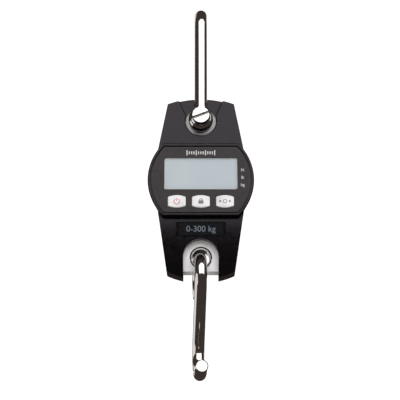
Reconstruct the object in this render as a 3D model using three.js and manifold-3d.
// A hanging scale of the 300 kg class: a case with a display carries a flat load cell, which hangs
// on a bow shackle at its top eye and holds an S hook in its bottom eye.
// Millimetres, +Z up, the display faces -Y. The origin is the hang point, which is the highest
// point inside the shackle's bow.
import * as THREE from "three";
import { mergeVertices } from "three/addons/utils/BufferGeometryUtils.js";
import Module from "manifold-3d";

const wasm = await Module();
wasm.setup();

// ---- driving dimensions ------------------------------------------------------------------------

const GAP = 0.3; // between pieces that touch on the real object
const FAR = 60; // reaches past every piece, for cuts that run right through
const BEYOND = 5; // how far outlines run on past the ends of the case
const DRUM_SIDES = 64;

// Shackle and its pin
const SHACKLE_ROD = 4.3; // radius of the bent rod
const SHACKLE_HALF_WIDTH = 12.3; // from the middle of the shackle to a leg's centre line
const PIN_DROP = 74; // hang point to pin axis
const EYE_RADIUS = 8.2;
const EYE_NECK = 13; // height above the pin where the leg starts to widen into its eye
const PIN_RADIUS = 4;
const PIN_COLLAR_RADIUS = 6.4;
const PIN_COLLAR = 1.4;
const PIN_HEAD_RADIUS = 5.65;
const PIN_HEAD = 3.8;
const PIN_SLOT_WIDTH = 2;
const PIN_SLOT_DEPTH = 1.6;
const PIN_TURN = 21; // degrees that the slot stands above the level

// Load cell and the hook below it
const EYE_DISTANCE = 92; // between the two eyes of the load cell
const CELL_HALF_WIDTH = 13;
const CELL_HALF_DEPTH = 6;
const CELL_TOP_END = 11.5; // from an eye's axis to that end of the load cell
const CELL_BOTTOM_END = 9.3;
const CELL_EYE_RADIUS = 7.3;
const CELL_WINDOW_RADIUS = 8.5;
const BUSH_INSET = 0.1; // from the face of the load cell to the end of its lower bush
const CELL_SLOT = 1.5; // width of the cut that joins to the window
const CELL_SLOT_END = 2.5; // from the end of that cut to the side of the load cell
const HOOK_ROD = 4;
const HOOK_BORE_RADIUS = 5.65;
const HOOK_TOP_RADIUS = 13;
const HOOK_TOP_DROP = 12; // lower eye to the centre of the hook's upper bend
const HOOK_TOP_WRAP = 150; // degrees that the upper bend runs behind the load cell
const HOOK_BOTTOM_RADIUS = 15;
const HOOK_BOTTOM_DROP = 59.5; // lower eye to the centre of the hook's lower bend
const HOOK_BOTTOM_FORWARD = 3.8; // brings the hook's balance under its upper bend
const HOOK_LIP_ANGLE = 31; // degrees past the lowest point where the lip starts to flatten
const HOOK_LIP_RADIUS = 10;
const HOOK_LIP_LENGTH = 5;
const HOOK_YAW = 4; // degrees that the hook hangs turned to one side
const HOOK_SHIFT = 0.85; // the hook hangs this far to the left in its bush

// Case
const WALL = 2;
const BOSS_WALL = 1.6; // plastic around the screws
const MODULE_DROP = 42.5; // pin axis to the middle of the display module
const MODULE_RADIUS = 34.6; // at the display rim
const MODULE_HALF_HEIGHT = 24.5;
const MODULE_FRONT = 17.8; // depth of the display rim in front of the parting plane
const PARTING_RADIUS = 33;
const BOWL_RADIUS = 29.5; // the module narrows to this behind the parting plane
const BOWL_DEPTH = 9;
const HOUSING = { width: 56.6, height: 2 * MODULE_HALF_HEIGHT, corner: 7 }; // for the batteries
const HOUSING_BACK = 20.5; // depth of that housing behind the parting plane
const CROWN_START = 20; // height over the module's middle where the tapered ends start to bow back
const UPPER_CROWN = { radius: 800, depth: 10.5 };
const LOWER_CROWN = { radius: 180, depth: 12.7 };
const REAR_CROWN = { radius: 140, depth: 14 };
const TOP_APEX = 58.4;
const TOP_ARC_RADIUS = 61.5;
const TOP_HALF_WIDTH = 22.1;
const TOP_SHOULDER = 32.5;
const BOTTOM_APEX = 64;
const BOTTOM_ARC_RADIUS = 50;
const BOTTOM_HALF_WIDTH = 22.1;
const BOTTOM_SHOULDER = 30.7;
const RECESS_RADIUS = 10.1; // round pocket in which the shackle's eye sits
const RECESS_OFFSET = 7.1; // pin axis to the slanted wall of the shackle's swing recess
const RECESS_ANGLE = 24;
const RECESS_FLOOR = 7.5;
const RECESS_FLARE = { side: 1.2, depth: 3 }; // the recess widens outwards by this much
const POCKET_CHAMFER = { side: 1.2, from: 9.4, to: 10.9 };
const ARCH_RADIUS = 11.4; // opening around the load cell's lower eye
const CELL_ROOM = CELL_HALF_DEPTH + GAP;

// Display stack, as depths in front of the parting plane
const PANEL_RADIUS = 32.4;
const PANEL_HALF_HEIGHT = 22.1;
const PANEL_GROOVE = 0.6;
const PANEL_FRONT = 17.3;
const PANEL_THICKNESS = 1.2;
const POCKET_FLOOR = PANEL_FRONT - PANEL_THICKNESS - GAP;
const LCD_HEIGHT_OVER_MIDDLE = 3.9;
const LCD_WINDOW = { width: 47.3, height: 21, corner: 1 };
const LCD_GLASS = { width: 53, height: 25, corner: 0.5 };
const LCD_THICKNESS = 2.2;
const HOLDER_THICKNESS = 1;
const BOARD_THICKNESS = 1.6;
const BOARD_RADIUS = 30.6;
const BOARD_HALF_HEIGHT = 21;
const POST_RADIUS = 2.2; // the board's two screw posts
const POST_BORE_RADIUS = 1.2;
const POST_BORE_END = 1; // plastic left in front of the bore
const BOARD_HOLE_RADIUS = 1.4;
const STRIP_RISE = 10.4; // contact strip over the middle of the display glass
const STRIP_WIDTH = LCD_GLASS.width - 7;
const STRIP_HEIGHT = 1.2;
const CHIP_THICKNESS = 1.2;
const CHIPS = {
  main_chip: { x: -6, z: 5, width: 12, height: 12 },
  amplifier_chip: { x: 10, z: -3, width: 5, height: 8 },
};
const CRYSTAL = { x: -20, z: 3, width: 3, height: 8 };
const BEEPER = { x: 19, z: 10, radius: 5 };
const GLASS_FRONT = POCKET_FLOOR - GAP / 3;
const HOLDER_FRONT = GLASS_FRONT - LCD_THICKNESS - GAP;
const BOARD_FRONT = HOLDER_FRONT - HOLDER_THICKNESS - GAP;
const BOARD_BACK = BOARD_FRONT - BOARD_THICKNESS;

// Buttons
const BUTTON_NAMES = ["power", "hold", "tare"];
const BUTTON_PITCH = 15.5;
const BUTTON_DROP = 14.9;
const BUTTON = { width: 11.6, height: 8.4, bow: 1.3 };
const BUTTON_FRONT = 18.2;
const BUTTON_FLANGE = 0.8;
const BUTTON_FLANGE_ROOM = 0.4;
const BUTTON_FLANGE_THICKNESS = 0.6;
const BUTTON_TRAVEL = 0.7;
const SWITCH_HALF_SIZE = 3;
const SWITCH_HEIGHT = 1.6;
const PLUNGER_RADIUS = 1.5;

// Capacity plate
const PLATE_DROP = 31.9;
const PLATE = { width: 28, height: 8.8, corner: 0.4 };
const PLATE_THICKNESS = 0.8;
const PLATE_MARGIN = 2.2; // width of the shallow recess on each side of the plate
const PLATE_RECESS = 0.4;

// Battery bay
const BATTERY_RADIUS = 5.25;
const BATTERY_LENGTH = 44.5;
const BATTERY_PITCH = 11.3;
const POLE = { radius: 1.9, length: 1 };
const BAY_HALF_WIDTH = 26.6;
const BAY_HALF_HEIGHT = 17.6;
const BAY_FLOOR = 7.9;
const COVER_THICKNESS = 1.6;
const COVER_TONGUE = 1.2;
const COVER_TONGUE_THICKNESS = 0.6;
const COVER_HALF_WIDTH = 26.2;
const COVER_TOP = 19;
const THUMB_GRIP = { width: 12, height: 5, corner: 2.4, rise: 8, depth: 0.7 };
const CONTACT_THICKNESS = 0.5;
const CONTACT_DEPTH = 9.6;
const CONTACT_INSET = 1; // from the end of the bay to the end of a contact plate
const SPRING_WIRE_RADIUS = 0.35;
const SPRING = { turns: 2.5, wide: 3.4, narrow: 1.8 };

// Fasteners
const SCREW_HEAD_RADIUS = 2.6;
const SCREW_HEAD = 1.8;
const SCREW_SHANK_RADIUS = 1.4;
const SCREW_HEAD_SEAT = 5.5;
const SCREW_TIP = -6;
const SCREW_CROSS = { width: 0.5, reach: 1.5, depth: 0.9 };
const CELL_SCREW_HEAD_RADIUS = 2.4;
const CELL_SCREW_DROP = 13.8; // under the pin
const CELL_SCREW_TIP = 1;
const BOARD_SCREW_HEAD_RADIUS = 1.8;
const BOARD_SCREW_SHANK_RADIUS = 0.9;
const BOARD_SCREW_END = 1.5; // from its tip to the floor of the panel pocket

// Strain gauges and their lead
const GAUGE = { depth: 5, height: 6, thickness: 0.4 };
const GAUGE_OFFSET = 5; // above and below the middle of the load cell
const LEAD_RADIUS = 0.9;

// Heights in the frame of the part
const PIN_Z = -PIN_DROP;
const HOOK_EYE_Z = PIN_Z - EYE_DISTANCE;
const MODULE_Z = PIN_Z - MODULE_DROP;
const PIN_OVER_MODULE = PIN_Z - MODULE_Z;
const EYE_UNDER_MODULE = MODULE_Z - HOOK_EYE_Z;

// ---- materials ---------------------------------------------------------------------------------

const material = (color, roughness, metalness) =>
  new THREE.MeshStandardMaterial({ color, roughness, metalness });
const caseBlack = material(0x2b292b, 0.5, 0);
const panelGrey = material(0x39363a, 0.55, 0);
const polishedSteel = material(0xc9c6c4, 0.2, 1);
const zincSteel = material(0xb8bac0, 0.35, 1);
const satinAluminium = material(0xd9d8da, 0.5, 1);
const bearingSteel = material(0x8f9094, 0.3, 1);
const windowClear = material(0xc2ccd2, 0.15, 0);
const lcdGrey = material(0xb8bfc4, 0.3, 0);
const holderWhite = material(0xe8e8e6, 0.6, 0);
const buttonWhite = material(0xf0efef, 0.5, 0);
const rubberBlack = material(0x191919, 0.9, 0);
const plateBlack = material(0x202226, 0.5, 0);
const boardGreen = material(0x1f5a37, 0.6, 0);
const chipBlack = material(0x141414, 0.6, 0);
const nickel = material(0xbfbfb8, 0.3, 1);
const gaugeFilm = material(0xc58a3c, 0.6, 0);
const cellWrap = material(0x3d4a63, 0.5, 0);

// ---- from geometry to solids --------------------------------------------------------------------

const radians = THREE.MathUtils.degToRad;

function solid(geometry) {
  geometry.deleteAttribute("normal");
  geometry.deleteAttribute("uv");
  const merged = mergeVertices(geometry, 1e-4);
  return new wasm.Manifold(
    new wasm.Mesh({
      numProp: 3,
      vertProperties: new Float32Array(merged.attributes.position.array),
      triVerts: new Uint32Array(merged.index.array),
    }),
  );
}

function join(...solids) {
  return solids.reduce((whole, piece) => whole.add(piece));
}

function cut(whole, ...tools) {
  return tools.reduce((rest, tool) => rest.subtract(tool), whole);
}

function geometryOf(body) {
  const mesh = body.getMesh();
  const geometry = new THREE.BufferGeometry();
  geometry.setAttribute("position", new THREE.Float32BufferAttribute(mesh.vertProperties, 3));
  geometry.setIndex(new THREE.Uint32BufferAttribute(mesh.triVerts, 1));
  geometry.computeVertexNormals();
  return geometry;
}

const model = new THREE.Group();

function add(name, body, look) {
  const mesh = new THREE.Mesh(geometryOf(body), look);
  mesh.name = name;
  model.add(mesh);
  return mesh;
}

// A flat outline in X and Z, given thickness between two depths along Y.
function slab(outline, y1, y2, curveSegments = 4) {
  const low = Math.min(y1, y2);
  const high = Math.max(y1, y2);
  const options = { depth: high - low, bevelEnabled: false, curveSegments };
  const geometry = new THREE.ExtrudeGeometry(outline, options);
  geometry.rotateX(Math.PI / 2);
  geometry.translate(0, high, 0);
  return solid(geometry);
}

// A flat outline in Y and Z, given width along X, evenly on both sides.
function prism(outline, halfWidth) {
  const options = { depth: 2 * halfWidth, bevelEnabled: false };
  const geometry = new THREE.ExtrudeGeometry(outline, options);
  geometry.translate(0, 0, -halfWidth);
  const [xAxis, yAxis, zAxis] = [0, 1, 2].map((i) => new THREE.Vector3().setComponent(i, 1));
  geometry.applyMatrix4(new THREE.Matrix4().makeBasis(yAxis, zAxis, xAxis));
  return solid(geometry);
}

function block(x1, x2, y1, y2, z1, z2) {
  const geometry = new THREE.BoxGeometry(Math.abs(x2 - x1), Math.abs(y2 - y1), Math.abs(z2 - z1));
  geometry.translate((x1 + x2) / 2, (y1 + y2) / 2, (z1 + z2) / 2);
  return solid(geometry);
}

// A round bar along Y.
function barY(radius, y1, y2, x = 0, z = 0, sides = 24) {
  const geometry = new THREE.CylinderGeometry(radius, radius, Math.abs(y2 - y1), sides);
  geometry.translate(x, (y1 + y2) / 2, z);
  return solid(geometry);
}

// A round bar along X.
function barX(radius, x1, x2, y, z, sides = 20) {
  const geometry = new THREE.CylinderGeometry(radius, radius, Math.abs(x2 - x1), sides);
  geometry.rotateZ(Math.PI / 2);
  geometry.translate((x1 + x2) / 2, y, z);
  return solid(geometry);
}

// A round rod along a curve.
function rod(curve, radius, steps, sides = 14) {
  const section = new THREE.Shape(
    Array.from({ length: sides }, (_, i) => {
      const turn = (2 * Math.PI * i) / sides;
      return new THREE.Vector2(radius * Math.cos(turn), radius * Math.sin(turn));
    }),
  );
  return solid(new THREE.ExtrudeGeometry(section, { steps, extrudePath: curve }));
}

// An arc in the plane of Y and Z. Angles are degrees from straight up, positive to the front.
class ForeAftArc extends THREE.Curve {
  constructor(centreY, centreZ, radius, from, to) {
    super();
    Object.assign(this, { centreY, centreZ, radius, from, to });
  }

  getPoint(t, target = new THREE.Vector3()) {
    const angle = radians(THREE.MathUtils.lerp(this.from, this.to, t));
    const y = this.centreY - this.radius * Math.sin(angle);
    const z = this.centreZ + this.radius * Math.cos(angle);
    return target.set(0, y, z);
  }
}

// The centre line of a bent rod: bends with straight stretches between them. Its parameter runs
// by steps and not by length, so that a straight stretch is a single step.
class BentLine extends THREE.Curve {
  constructor(start, bends, end) {
    super();
    const degreesPerStep = 10;
    this.pieces = [];
    let from = start;
    for (const bend of bends) {
      this.addStraight(from, bend.getPoint(0));
      const steps = Math.ceil(Math.abs(bend.to - bend.from) / degreesPerStep);
      this.pieces.push({ curve: bend, steps });
      from = bend.getPoint(1);
    }
    this.addStraight(from, end);
    this.steps = this.pieces.reduce((sum, piece) => sum + piece.steps, 0);
  }

  addStraight(from, to) {
    if (from.distanceTo(to) < 0.01) return;
    this.pieces.push({ curve: new THREE.LineCurve3(from, to), steps: 1 });
  }

  getUtoTmapping(u) {
    return u;
  }

  getPoint(t, target = new THREE.Vector3()) {
    let step = t * this.steps;
    for (const { curve, steps } of this.pieces) {
      if (step <= steps) return curve.getPoint(step / steps, target);
      step -= steps;
    }
    return this.pieces.at(-1).curve.getPoint(1, target);
  }
}

// ---- outlines (X and Z, measured from the middle of the display module) -------------------------

function roundedBox(width, height, corner, x = 0, z = 0) {
  const [right, top] = [width / 2, height / 2];
  const shape = new THREE.Shape();
  shape.absarc(x + right - corner, z + top - corner, corner, 0, Math.PI / 2);
  shape.absarc(x - right + corner, z + top - corner, corner, Math.PI / 2, Math.PI);
  shape.absarc(x - right + corner, z - top + corner, corner, Math.PI, 1.5 * Math.PI);
  shape.absarc(x + right - corner, z - top + corner, corner, 1.5 * Math.PI, 2 * Math.PI);
  return shape;
}

// A disc with a flat top and a flat bottom.
function moduleOutline(radius, halfHeight) {
  const edge = Math.asin(halfHeight / radius);
  const shape = new THREE.Shape();
  shape.absarc(0, 0, radius, -edge, edge);
  shape.absarc(0, 0, radius, Math.PI - edge, Math.PI + edge);
  return shape;
}

// A cone-shaped bar along Y with a radius at each of its two ends, y1 below y2.
function coneY(radius1, radius2, y1, y2, z, sides) {
  const geometry = new THREE.CylinderGeometry(radius2, radius1, y2 - y1, sides);
  geometry.translate(0, (y1 + y2) / 2, z);
  return solid(geometry);
}

// A drum along Y that narrows between two depths, with a flat top and a flat bottom.
function drum(radius1, radius2, y1, y2) {
  const level = block(-FAR, FAR, y1, y2, -MODULE_HALF_HEIGHT, MODULE_HALF_HEIGHT);
  return coneY(radius1, radius2, y1, y2, 0, DRUM_SIDES).intersect(level);
}

// The room that the recess takes from one half of the case, with walls that lean outwards.
function recessRoom(side) {
  const options = {
    depth: FAR - RECESS_FLOOR,
    bevelThickness: RECESS_FLARE.depth,
    bevelSize: RECESS_FLARE.side,
    bevelSegments: 1,
  };
  const geometry = new THREE.ExtrudeGeometry(recessOutline(0), options);
  const start = RECESS_FLOOR + RECESS_FLARE.depth;
  geometry.rotateX(Math.PI / 2);
  geometry.translate(0, side > 0 ? start + options.depth : -start, 0);
  return solid(geometry);
}

// The chamfer around the mouth of the round pocket on one half of the case.
function pocketMouth(side) {
  const { side: grow, from, to } = POCKET_CHAMFER;
  const [inside, outside] = [RECESS_RADIUS, RECESS_RADIUS + grow];
  const radii = side > 0 ? [inside, outside] : [outside, inside];
  const depths = side > 0 ? [from, to] : [-to, -from];
  return coneY(...radii, ...depths, PIN_OVER_MODULE, 32);
}

// The battery housing seen from behind.
function housingOutline(inset) {
  const { width, height, corner } = HOUSING;
  return roundedBox(width - 2 * inset, height - 2 * inset, corner - inset);
}

// The tapered ends above and below the module, with bowed end edges.
function taperOutline(inset) {
  const topRadius = TOP_ARC_RADIUS - inset;
  const topCentre = TOP_APEX - TOP_ARC_RADIUS;
  const topEdge = Math.asin((TOP_HALF_WIDTH - inset) / topRadius);
  const bottomRadius = BOTTOM_ARC_RADIUS - inset;
  const bottomCentre = BOTTOM_ARC_RADIUS - BOTTOM_APEX;
  const bottomEdge = Math.asin((BOTTOM_HALF_WIDTH - inset) / bottomRadius);
  const up = Math.PI / 2;
  const shape = new THREE.Shape();
  shape.absarc(0, topCentre, topRadius, up - topEdge, up + topEdge);
  shape.lineTo(inset - TOP_SHOULDER, 0);
  shape.lineTo(inset - BOTTOM_SHOULDER, -1);
  shape.absarc(0, bottomCentre, bottomRadius, -up - bottomEdge, -up + bottomEdge);
  shape.lineTo(BOTTOM_SHOULDER - inset, -1);
  shape.lineTo(TOP_SHOULDER - inset, 0);
  return shape;
}

// Slanted-sided recess in which the shackle swings, above the round pocket for its eye.
function recessOutline(grow) {
  const slant = radians(RECESS_ANGLE);
  const offset = RECESS_OFFSET + grow;
  const meeting = Math.acos(offset / (RECESS_RADIUS + grow)) - slant;
  const top = TOP_APEX + BEYOND - PIN_OVER_MODULE;
  const halfWidthAt = (z) => (offset + z * Math.sin(slant)) / Math.cos(slant);
  const bottom = (RECESS_RADIUS + grow) * Math.sin(meeting);
  const shape = new THREE.Shape();
  shape.moveTo(-halfWidthAt(bottom), PIN_OVER_MODULE + bottom);
  shape.lineTo(halfWidthAt(bottom), PIN_OVER_MODULE + bottom);
  shape.lineTo(halfWidthAt(top), PIN_OVER_MODULE + top);
  shape.lineTo(-halfWidthAt(top), PIN_OVER_MODULE + top);
  return shape;
}

// Arch around the load cell's lower eye, open at the bottom.
function archOutline(grow) {
  const radius = ARCH_RADIUS + grow;
  const shape = new THREE.Shape();
  shape.absarc(0, -EYE_UNDER_MODULE, radius, 0, Math.PI);
  shape.lineTo(-radius, -FAR - EYE_UNDER_MODULE);
  shape.lineTo(radius, -FAR - EYE_UNDER_MODULE);
  return shape;
}

// A button: straight sides, bowed top and bottom.
function buttonOutline(x, grow) {
  const right = BUTTON.width / 2 + grow;
  const top = BUTTON.height / 2 + grow;
  const shoulder = top - BUTTON.bow;
  const shape = new THREE.Shape();
  shape.moveTo(x + right, -BUTTON_DROP - shoulder);
  shape.lineTo(x + right, -BUTTON_DROP + shoulder);
  shape.quadraticCurveTo(x, -BUTTON_DROP + top + BUTTON.bow, x - right, -BUTTON_DROP + shoulder);
  shape.lineTo(x - right, -BUTTON_DROP - shoulder);
  shape.quadraticCurveTo(x, -BUTTON_DROP - top - BUTTON.bow, x + right, -BUTTON_DROP - shoulder);
  return shape;
}

// Depth of the tapered ends' surface at a height over the middle of the module.
function crownDepth(height, side = -1) {
  const frontCrown = height > 0 ? UPPER_CROWN : LOWER_CROWN;
  const { radius, depth } = side > 0 ? REAR_CROWN : frontCrown;
  const rise = Math.max(Math.abs(height) - CROWN_START, 0);
  return depth - radius + Math.sqrt(radius ** 2 - rise ** 2);
}

// Side view of the tapered ends on one side of the parting plane: side is -1 in front, 1 behind.
function crownOutline(side, inset) {
  const inside = -side * 2 * WALL;
  const end = BOTTOM_APEX + BEYOND;
  const steps = 8;
  const points = [new THREE.Vector2(inside, end), new THREE.Vector2(inside, -end)];
  for (const [from, to] of [[-end, -CROWN_START], [CROWN_START, end]]) {
    for (let i = 0; i <= steps; i += 1) {
      const height = THREE.MathUtils.lerp(from, to, i / steps);
      points.push(new THREE.Vector2(side * (crownDepth(height, side) - inset), height));
    }
  }
  return new THREE.Shape(points);
}

const buttonPlaces = BUTTON_NAMES.map((name, i) => ({ name, x: (i - 1) * BUTTON_PITCH }));
const screwPlaces = [
  [-17.5, 40],
  [17.5, 40],
  [-17, -50],
  [17, -50],
];
const cellScrewPlaces = [-8, 8].map((x) => [x, PIN_OVER_MODULE - CELL_SCREW_DROP]);
const boardScrewPlaces = [-25, 25].map((x) => [x, -13]);

// ---- case --------------------------------------------------------------------------------------

// The outside and the hollow of the display module, in front of the parting plane.
function frontModule() {
  const hollow = moduleOutline(PARTING_RADIUS - WALL, MODULE_HALF_HEIGHT - WALL);
  return {
    body: drum(MODULE_RADIUS, PARTING_RADIUS, -MODULE_FRONT, -GAP / 2),
    room: slab(hollow, 1, -MODULE_FRONT + WALL, 8),
  };
}

// The outside and the hollow of the bowl and the battery housing behind the parting plane.
function rearModule() {
  return {
    body: join(
      drum(PARTING_RADIUS, BOWL_RADIUS, GAP / 2, BOWL_DEPTH),
      slab(housingOutline(0), GAP / 2, HOUSING_BACK, 8),
    ),
    room: slab(housingOutline(WALL), -1, HOUSING_BACK - WALL, 6),
  };
}

// One half of the case before its own openings: side is -1 for the front, 1 for the back.
function caseHalf(side, { body, room }, keepSolid) {
  const start = (side * GAP) / 2;
  const outer = slab(taperOutline(0), start, side * FAR)
    .intersect(prism(crownOutline(side, 0), FAR))
    .add(body);
  const hollow = slab(taperOutline(WALL), -side, side * FAR)
    .intersect(prism(crownOutline(side, WALL), FAR))
    .add(room);
  const bossRadius = SCREW_HEAD_RADIUS + BOSS_WALL;
  const ribs = [
    slab(recessOutline(WALL + RECESS_FLARE.side), side * CELL_ROOM, side * FAR),
    barY(RECESS_RADIUS + WALL, side * CELL_ROOM, side * FAR, 0, PIN_OVER_MODULE, 32),
    slab(archOutline(WALL), side * CELL_ROOM, side * FAR, 10),
    ...screwPlaces.map(([x, z]) => barY(bossRadius, start, side * FAR, x, z, 12)),
    ...keepSolid,
  ];
  const cellTop = PIN_OVER_MODULE + CELL_TOP_END + GAP;
  const cellHalf = CELL_HALF_WIDTH + GAP;
  return cut(
    outer,
    cut(hollow, ...ribs),
    recessRoom(side),
    barY(RECESS_RADIUS, -side, side * FAR, 0, PIN_OVER_MODULE, 32),
    pocketMouth(side),
    slab(archOutline(0), -side, side * FAR, 12),
    block(-cellHalf, cellHalf, -side, side * CELL_ROOM, cellTop, -FAR - MODULE_RADIUS),
  );
}

function frontCover() {
  const postBack = -(BOARD_FRONT + GAP);
  const post = ([x, z]) => barY(POST_RADIUS, postBack, -POCKET_FLOOR, x, z, 16);
  const posts = boardScrewPlaces.map(post);
  const shell = caseHalf(-1, frontModule(), [
    ...posts,
    block(-FAR, FAR, -(POCKET_FLOOR - WALL), -FAR, -MODULE_RADIUS, MODULE_RADIUS),
  ]);
  const pocket = moduleOutline(PANEL_RADIUS + PANEL_GROOVE, PANEL_HALF_HEIGHT + PANEL_GROOVE);
  const stripRoom = roundedBox(PLATE.width + 2 * PLATE_MARGIN, PLATE.height + 2 * GAP, PLATE.corner);
  const pilotEnd = -(crownDepth(PIN_OVER_MODULE) - 2 * WALL);
  return cut(
    shell,
    slab(pocket, -FAR, -POCKET_FLOOR, 12),
    slab(lcdOutline(GAP), -FAR, -POCKET_FLOOR + 2 * WALL),
    ...buttonPlaces.map(({ x }) => slab(buttonOutline(x, BUTTON_FLANGE + BUTTON_FLANGE_ROOM), -FAR, -1, 5)),
    ontoLowerCrown(slab(stripRoom, -FAR, -PLATE_THICKNESS + PLATE_RECESS)),
    ontoLowerCrown(slab(plateOutline(GAP), -FAR, 0)),
    ...screwPlaces.map(([x, z]) => barY(SCREW_SHANK_RADIUS + GAP, 1, pilotEnd, x, z, 12)),
    ...boardScrewPlaces.map(([x, z]) => barY(POST_BORE_RADIUS, 1, POST_BORE_END - POCKET_FLOOR, x, z, 12)),
  );
}

function plateOutline(grow) {
  return roundedBox(PLATE.width + 2 * grow, PLATE.height + 2 * grow, PLATE.corner);
}

// Tips a body forward, square to the crown under the capacity plate, and lays it in its recess.
function ontoLowerCrown(body) {
  const lean = Math.asin((PLATE_DROP - CROWN_START) / LOWER_CROWN.radius);
  return body
    .rotate([THREE.MathUtils.radToDeg(lean), 0, 0])
    .translate([0, PLATE_THICKNESS - crownDepth(-PLATE_DROP), -PLATE_DROP]);
}

function rearCover() {
  const bayBox = block(
    -BAY_HALF_WIDTH - WALL,
    BAY_HALF_WIDTH + WALL,
    CELL_ROOM,
    HOUSING_BACK,
    -BAY_HALF_HEIGHT - WALL,
    BAY_HALF_HEIGHT + WALL,
  );
  const bossRadius = CELL_SCREW_HEAD_RADIUS + BOSS_WALL;
  const bosses = cellScrewPlaces.map(([x, z]) => barY(bossRadius, CELL_ROOM, FAR, x, z, 16));
  const shell = caseHalf(1, rearModule(), [bayBox, ...bosses]);
  const coverInner = HOUSING_BACK - COVER_THICKNESS;
  const bay = block(
    -BAY_HALF_WIDTH,
    BAY_HALF_WIDTH,
    BAY_FLOOR,
    FAR,
    -BAY_HALF_HEIGHT,
    BAY_HALF_HEIGHT,
  );
  const tongueHalf = COVER_HALF_WIDTH + COVER_TONGUE + GAP;
  const tongueOuter = coverInner + COVER_TONGUE_THICKNESS + GAP;
  const coverHalf = COVER_HALF_WIDTH + GAP;
  const coverTop = COVER_TOP + GAP;
  return cut(
    shell,
    bay,
    block(-tongueHalf, tongueHalf, coverInner - GAP, tongueOuter, -MODULE_RADIUS, coverTop),
    block(-coverHalf, coverHalf, coverInner - GAP, FAR, -MODULE_RADIUS, coverTop),
    ...screwPlaces.flatMap(([x, z]) => [
      barY(SCREW_HEAD_RADIUS + GAP, SCREW_HEAD_SEAT, FAR, x, z, 16),
      barY(SCREW_SHANK_RADIUS + GAP, -1, FAR, x, z, 12),
    ]),
    ...cellScrewPlaces.flatMap(([x, z]) => [
      barY(CELL_SCREW_HEAD_RADIUS + GAP, BAY_FLOOR, FAR, x, z, 16),
      barY(SCREW_SHANK_RADIUS + GAP, -1, FAR, x, z, 12),
    ]),
  );
}

function batteryCover() {
  const inner = HOUSING_BACK - COVER_THICKNESS;
  const bottom = -MODULE_HALF_HEIGHT;
  const tongueHalf = COVER_HALF_WIDTH + COVER_TONGUE;
  const tongueOuter = inner + COVER_TONGUE_THICKNESS;
  const plate = join(
    block(-COVER_HALF_WIDTH, COVER_HALF_WIDTH, inner, HOUSING_BACK, bottom, COVER_TOP),
    block(-tongueHalf, tongueHalf, inner, tongueOuter, bottom, COVER_TOP),
  );
  const insideHousing = slab(housingOutline(0), 0, FAR, 8);
  const { width, height, corner, rise, depth } = THUMB_GRIP;
  const thumbGrip = slab(roundedBox(width, height, corner, 0, bottom + rise), HOUSING_BACK - depth, FAR);
  return cut(plate.intersect(insideHousing), thumbGrip);
}

// ---- display and electronics -------------------------------------------------------------------

function faceplate() {
  const plate = moduleOutline(PANEL_RADIUS, PANEL_HALF_HEIGHT);
  plate.holes.push(lcdWindowOutline(GAP));
  for (const { x } of buttonPlaces) plate.holes.push(buttonOutline(x, GAP));
  return slab(plate, -PANEL_FRONT, -PANEL_FRONT + PANEL_THICKNESS, 7);
}

function lcdWindowOutline(grow) {
  const { width, height, corner } = LCD_WINDOW;
  return roundedBox(width + 2 * grow, height + 2 * grow, corner, 0, LCD_HEIGHT_OVER_MIDDLE);
}

function lcdOutline(grow) {
  const { width, height, corner } = LCD_GLASS;
  return roundedBox(width + 2 * grow, height + 2 * grow, corner, 0, LCD_HEIGHT_OVER_MIDDLE);
}

function lcdHolder() {
  const frame = lcdOutline(0);
  frame.holes.push(stripOutline(GAP));
  return slab(frame, -HOLDER_FRONT, -HOLDER_FRONT + HOLDER_THICKNESS, 2);
}

function stripOutline(grow) {
  const height = LCD_HEIGHT_OVER_MIDDLE + STRIP_RISE;
  return roundedBox(STRIP_WIDTH + 2 * grow, STRIP_HEIGHT + 2 * grow, 0.2, 0, height);
}

function contactStrip() {
  return slab(stripOutline(0), -HOLDER_FRONT - GAP / 3, -BOARD_FRONT - GAP / 3, 1);
}

function circuitBoard() {
  const outline = moduleOutline(BOARD_RADIUS, BOARD_HALF_HEIGHT);
  for (const [x, z] of boardScrewPlaces) {
    const hole = new THREE.Path();
    hole.absarc(x, z, BOARD_HOLE_RADIUS, 0, 2 * Math.PI);
    outline.holes.push(hole);
  }
  return slab(outline, -BOARD_FRONT, -BOARD_BACK, 6);
}

function button(x) {
  const back = POCKET_FLOOR - BUTTON_FLANGE_THICKNESS;
  const flange = slab(buttonOutline(x, BUTTON_FLANGE), -POCKET_FLOOR, -back, 6);
  const cap = slab(buttonOutline(x, 0), -back - BUTTON_FLANGE_THICKNESS / 2, -BUTTON_FRONT, 6);
  return flange.add(cap);
}

function keySwitch(x) {
  const back = -BOARD_FRONT - GAP;
  const front = back - SWITCH_HEIGHT;
  const plungerFront = POCKET_FLOOR - BUTTON_FLANGE_THICKNESS - BUTTON_TRAVEL - GAP;
  const [half, z] = [SWITCH_HALF_SIZE, -BUTTON_DROP];
  const housing = block(x - half, x + half, front, back, z - half, z + half);
  return housing.add(barY(PLUNGER_RADIUS, front + SWITCH_HEIGHT / 2, -plungerFront, x, z, 16));
}

function chip({ x, z, width, height }) {
  const front = GAP - BOARD_BACK;
  const [halfWidth, halfHeight] = [width / 2, height / 2];
  const [left, right, low, high] = [x - halfWidth, x + halfWidth, z - halfHeight, z + halfHeight];
  return block(left, right, front, front + CHIP_THICKNESS, low, high);
}

function beeper() {
  return barY(BEEPER.radius, GAP - BOARD_BACK, -CELL_ROOM - 2 * GAP, BEEPER.x, BEEPER.z, 20);
}

function capacityPlate() {
  return ontoLowerCrown(slab(plateOutline(0), -PLATE_THICKNESS, -GAP / 3, 1));
}

// ---- batteries ---------------------------------------------------------------------------------

const batteryAxisY = BAY_FLOOR + GAP + BATTERY_RADIUS;
const batteryPlaces = [1, 0, -1].map((row, i) => ({ z: row * BATTERY_PITCH, side: i % 2 ? -1 : 1 }));

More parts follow.
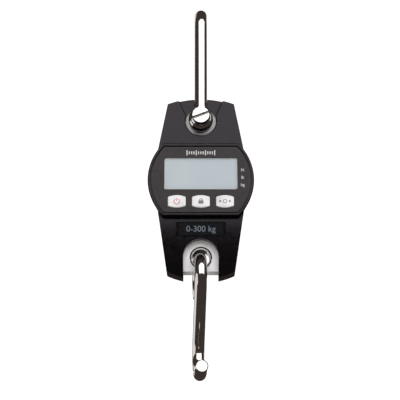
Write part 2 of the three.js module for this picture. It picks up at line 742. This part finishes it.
// A cell lies along X with its plus pole towards side.
function battery({ z, side }) {
  const bodyEnd = BATTERY_LENGTH / 2 - POLE.length;
  const poleStart = bodyEnd - POLE.length / 2;
  return join(
    barX(BATTERY_RADIUS, -side * (BATTERY_LENGTH / 2), side * bodyEnd, batteryAxisY, z),
    barX(POLE.radius, side * poleStart, side * (BATTERY_LENGTH / 2), batteryAxisY, z, 12),
  );
}

// A conical contact spring at the minus pole.
class SpringCurve extends THREE.Curve {
  constructor(start, length, y, z) {
    super();
    Object.assign(this, { start, length, y, z });
  }

  getPoint(t, target = new THREE.Vector3()) {
    const angle = 2 * Math.PI * SPRING.turns * t;
    const radius = THREE.MathUtils.lerp(SPRING.wide, SPRING.narrow, t);
    const y = this.y + radius * Math.cos(angle);
    return target.set(this.start + this.length * t, y, this.z + radius * Math.sin(angle));
  }
}

const contactFace = BAY_HALF_WIDTH - GAP - CONTACT_THICKNESS;

function batterySpring({ z, side }) {
  const wire = SPRING_WIRE_RADIUS;
  const start = -side * (contactFace - GAP - wire);
  const end = -side * (BATTERY_LENGTH / 2 + GAP + wire);
  return rod(new SpringCurve(start, end - start, batteryAxisY, z), wire, 24, 5);
}

function contactPlate(side) {
  const x = side * contactFace;
  const bottom = BAY_FLOOR + GAP;
  const half = BAY_HALF_HEIGHT - CONTACT_INSET;
  return block(x, x + side * CONTACT_THICKNESS, bottom, bottom + CONTACT_DEPTH, -half, half);
}

// ---- fasteners ---------------------------------------------------------------------------------

// A pan-head screw along Y, its head towards the back, with a cross recess.
function screw(x, z, seat, tip, shankRadius = SCREW_SHANK_RADIUS, headRadius = SCREW_HEAD_RADIUS) {
  const top = seat + SCREW_HEAD;
  const floor = top - SCREW_CROSS.depth;
  const [half, reach] = [SCREW_CROSS.width / 2, SCREW_CROSS.reach];
  const shankEnd = seat + SCREW_HEAD / 4;
  return cut(
    join(barY(headRadius, seat, top, x, z, 16), barY(shankRadius, tip, shankEnd, x, z, 12)),
    block(x - reach, x + reach, floor, FAR, z - half, z + half),
    block(x - half, x + half, floor, FAR, z - reach, z + reach),
  );
}

// ---- metal that carries the load (built around the pin or the lower eye) -------------------------

function shackleBow() {
  const inner = SHACKLE_HALF_WIDTH - SHACKLE_ROD;
  const outer = SHACKLE_HALF_WIDTH + SHACKLE_ROD;
  const bend = new ForeAftArc(0, PIN_DROP - inner, SHACKLE_HALF_WIDTH, -90, 90);
  const legEnd = (y) => new THREE.Vector3(0, y, EYE_RADIUS / 2);
  const line = new BentLine(legEnd(SHACKLE_HALF_WIDTH), [bend], legEnd(-SHACKLE_HALF_WIDTH));
  const bow = rod(line, SHACKLE_ROD, line.steps, 16);
  const eyes = [-1, 1].map((side) => slab(eyeOutline(), side * inner, side * outer, 12));
  const hole = barY(PIN_RADIUS + GAP, -FAR, FAR, 0, 0, 24);
  return cut(join(bow, ...eyes), hole);
}

// The eye of a shackle leg, around the pin: a disc with a neck that runs up into the rod.
function eyeOutline() {
  const shoulder = radians(50);
  const x = EYE_RADIUS * Math.cos(shoulder);
  const z = EYE_RADIUS * Math.sin(shoulder);
  const neck = SHACKLE_ROD * 0.75;
  const shape = new THREE.Shape();
  shape.absarc(0, 0, EYE_RADIUS, Math.PI - shoulder, 2 * Math.PI + shoulder);
  shape.quadraticCurveTo(x - 1.6, z + 1.9, neck, EYE_NECK);
  shape.lineTo(-neck, EYE_NECK);
  shape.quadraticCurveTo(1.6 - x, z + 1.9, -x, z);
  return shape;
}

function shacklePin() {
  const legOutside = SHACKLE_HALF_WIDTH + SHACKLE_ROD;
  const collarBack = -(legOutside + GAP);
  const headBack = collarBack - PIN_COLLAR;
  const front = headBack - PIN_HEAD;
  const chamfer = 0.5;
  const slot = PIN_SLOT_WIDTH / 2;
  const profile = [
    [0, front],
    [PIN_HEAD_RADIUS - chamfer, front],
    [PIN_HEAD_RADIUS, front + chamfer],
    [PIN_HEAD_RADIUS, headBack],
    [PIN_COLLAR_RADIUS, headBack],
    [PIN_COLLAR_RADIUS, collarBack],
    [PIN_RADIUS, collarBack],
    [PIN_RADIUS, legOutside],
    [0, legOutside],
  ].map(([radius, y]) => new THREE.Vector2(radius, y));
  const turned = new THREE.LatheGeometry(profile, 32);
  const pin = solid(turned);
  return cut(pin, block(-FAR, FAR, front - 1, front + PIN_SLOT_DEPTH, -slot, slot));
}

function loadCell() {
  const middle = -EYE_DISTANCE / 2;
  const bar = block(
    -CELL_HALF_WIDTH,
    CELL_HALF_WIDTH,
    -CELL_HALF_DEPTH,
    CELL_HALF_DEPTH,
    CELL_TOP_END,
    -EYE_DISTANCE - CELL_BOTTOM_END,
  );
  const slot = CELL_SLOT / 2;
  const slotReach = CELL_HALF_WIDTH - CELL_SLOT_END;
  const screwHole = ([x]) => barY(SCREW_SHANK_RADIUS + GAP, -1, FAR, x, -CELL_SCREW_DROP, 12);
  return cut(
    bar,
    barY(CELL_EYE_RADIUS, -FAR, FAR, 0, 0, 36),
    barY(CELL_EYE_RADIUS, -FAR, FAR, 0, -EYE_DISTANCE, 36),
    barY(CELL_WINDOW_RADIUS, -FAR, FAR, 0, middle, 32),
    block(-slotReach, slotReach, -FAR, FAR, middle - slot, middle + slot),
    ...cellScrewPlaces.map(screwHole),
  );
}

function ring(outer, inner, halfLength, sides = 36) {
  const body = barY(outer, -halfLength, halfLength, 0, 0, sides);
  return cut(body, barY(inner, -FAR, FAR, 0, 0, sides));
}

// The S hook, around the centre of its upper bend. The straight shank touches both bends.
function lowerHook() {
  const drop = HOOK_BOTTOM_DROP - HOOK_TOP_DROP;
  const between = Math.hypot(drop, HOOK_BOTTOM_FORWARD);
  const lean = THREE.MathUtils.radToDeg(Math.asin((HOOK_TOP_RADIUS + HOOK_BOTTOM_RADIUS) / between));
  const aim = THREE.MathUtils.radToDeg(Math.atan2(HOOK_BOTTOM_FORWARD, drop));
  const leave = 90 + lean - aim;
  const lowest = -180;
  const lip = lowest - HOOK_LIP_ANGLE;
  const bottomY = -HOOK_BOTTOM_FORWARD;
  const upper = new ForeAftArc(0, 0, HOOK_TOP_RADIUS, -HOOK_TOP_WRAP, leave);
  const lower = new ForeAftArc(bottomY, -drop, HOOK_BOTTOM_RADIUS, leave - 180, lip);
  const lipReach = (HOOK_BOTTOM_RADIUS + HOOK_LIP_RADIUS) * Math.sin(radians(HOOK_LIP_ANGLE));
  const lipDrop = (HOOK_BOTTOM_RADIUS + HOOK_LIP_RADIUS) * Math.cos(radians(HOOK_LIP_ANGLE));
  const flatten = new ForeAftArc(
    bottomY - lipReach,
    -drop - lipDrop,
    HOOK_LIP_RADIUS,
    -HOOK_LIP_ANGLE,
    0,
  );
  const tip = flatten.getPoint(1).add(new THREE.Vector3(0, -HOOK_LIP_LENGTH, 0));
  const line = new BentLine(upper.getPoint(0), [upper, lower, flatten], tip);
  return rod(line, HOOK_ROD, line.steps);
}

// ---- assembly ----------------------------------------------------------------------------------

const raise = (mesh, z) => mesh.position.setZ(z);

raise(add("shackle_bow", shackleBow(), polishedSteel), PIN_Z);
const pin = add("shackle_pin", shacklePin(), zincSteel);
raise(pin, PIN_Z);
pin.rotation.y = -radians(PIN_TURN);

raise(add("load_cell", loadCell(), satinAluminium), PIN_Z);
const bushRadius = CELL_EYE_RADIUS - GAP;
const upperBush = ring(bushRadius, PIN_RADIUS + GAP, SHACKLE_HALF_WIDTH - SHACKLE_ROD - GAP);
raise(add("upper_bush", upperBush, bearingSteel), PIN_Z);
const lowerBush = ring(bushRadius, HOOK_BORE_RADIUS, CELL_HALF_DEPTH - BUSH_INSET);
raise(add("lower_bush", lowerBush, bearingSteel), HOOK_EYE_Z);
const hook = add("lower_hook", lowerHook(), polishedSteel);
raise(hook, HOOK_EYE_Z - HOOK_TOP_DROP);
hook.rotation.z = radians(HOOK_YAW);
hook.position.x = -HOOK_SHIFT;

const caseParts = new THREE.Group();
caseParts.position.z = MODULE_Z;
model.add(caseParts);

function addToCase(name, body, look) {
  caseParts.add(add(name, body, look));
}

addToCase("front_cover", frontCover(), caseBlack);
addToCase("rear_cover", rearCover(), caseBlack);
addToCase("battery_cover", batteryCover(), caseBlack);
addToCase("faceplate", faceplate(), panelGrey);
const windowBack = -PANEL_FRONT + PANEL_THICKNESS;
addToCase("lcd_window", slab(lcdWindowOutline(0), -PANEL_FRONT, windowBack, 3), windowClear);
const glass = slab(lcdOutline(0), -GLASS_FRONT, -GLASS_FRONT + LCD_THICKNESS, 1);
addToCase("lcd_glass", glass, lcdGrey);
addToCase("lcd_holder", lcdHolder(), holderWhite);
addToCase("lcd_contact_strip", contactStrip(), rubberBlack);
addToCase("circuit_board", circuitBoard(), boardGreen);
for (const [name, place] of Object.entries(CHIPS)) addToCase(name, chip(place), chipBlack);
addToCase("clock_crystal", chip(CRYSTAL), nickel);
addToCase("beeper", beeper(), chipBlack);
addToCase("capacity_plate", capacityPlate(), plateBlack);

for (const { name, x } of buttonPlaces) {
  addToCase(`button_${name}`, button(x), buttonWhite);
  addToCase(`switch_${name}`, keySwitch(x), chipBlack);
}

batteryPlaces.forEach((place, i) => {
  addToCase(`battery_${i + 1}`, battery(place), cellWrap);
  addToCase(`battery_spring_${i + 1}`, batterySpring(place), nickel);
});
addToCase("contact_plate_left", contactPlate(-1), nickel);
addToCase("contact_plate_right", contactPlate(1), nickel);

screwPlaces.forEach(([x, z], i) => {
  addToCase(`case_screw_${i + 1}`, screw(x, z, SCREW_HEAD_SEAT + GAP, SCREW_TIP), zincSteel);
});
cellScrewPlaces.forEach(([x, z], i) => {
  const [shank, head] = [SCREW_SHANK_RADIUS, CELL_SCREW_HEAD_RADIUS];
  const body = screw(x, z, BAY_FLOOR + GAP, CELL_SCREW_TIP, shank, head);
  addToCase(`cell_screw_${i + 1}`, body, zincSteel);
});
boardScrewPlaces.forEach(([x, z], i) => {
  const [shank, head] = [BOARD_SCREW_SHANK_RADIUS, BOARD_SCREW_HEAD_RADIUS];
  const body = screw(x, z, GAP - BOARD_BACK, BOARD_SCREW_END - POCKET_FLOOR, shank, head);
  addToCase(`board_screw_${i + 1}`, body, zincSteel);
});

// Strain gauges on the load cell's two sides, above and below its window.
const gaugeMiddle = PIN_OVER_MODULE - EYE_DISTANCE / 2;
[[-1, 1], [1, 1], [-1, -1], [1, -1]].forEach(([side, row], i) => {
  const near = side * (CELL_HALF_WIDTH + GAP);
  const far = near + side * GAUGE.thickness;
  const z = gaugeMiddle + row * GAUGE_OFFSET;
  const [depth, height] = [GAUGE.depth / 2, GAUGE.height / 2];
  const gauge = block(near, far, -depth, depth, z - height, z + height);
  addToCase(`strain_gauge_${i + 1}`, gauge, gaugeFilm);
});

// Four-core lead from the gauges, round the edge of the load cell, to the circuit board.
const leadStart = CELL_HALF_WIDTH + GAP + GAUGE.thickness + LEAD_RADIUS + 1;
const leadPath = new THREE.CatmullRomCurve3([
  new THREE.Vector3(leadStart, 1, gaugeMiddle - GAUGE_OFFSET),
  new THREE.Vector3(leadStart + 0.8, -2, gaugeMiddle - 4),
  new THREE.Vector3(leadStart + 0.4, -CELL_HALF_DEPTH + 0.5, gaugeMiddle - 2),
  new THREE.Vector3(leadStart - 1.6, -BOARD_BACK + 1.6, gaugeMiddle - 1),
]);
addToCase("sensor_lead", rod(leadPath, LEAD_RADIUS, 10, 8), rubberBlack);

export default model;
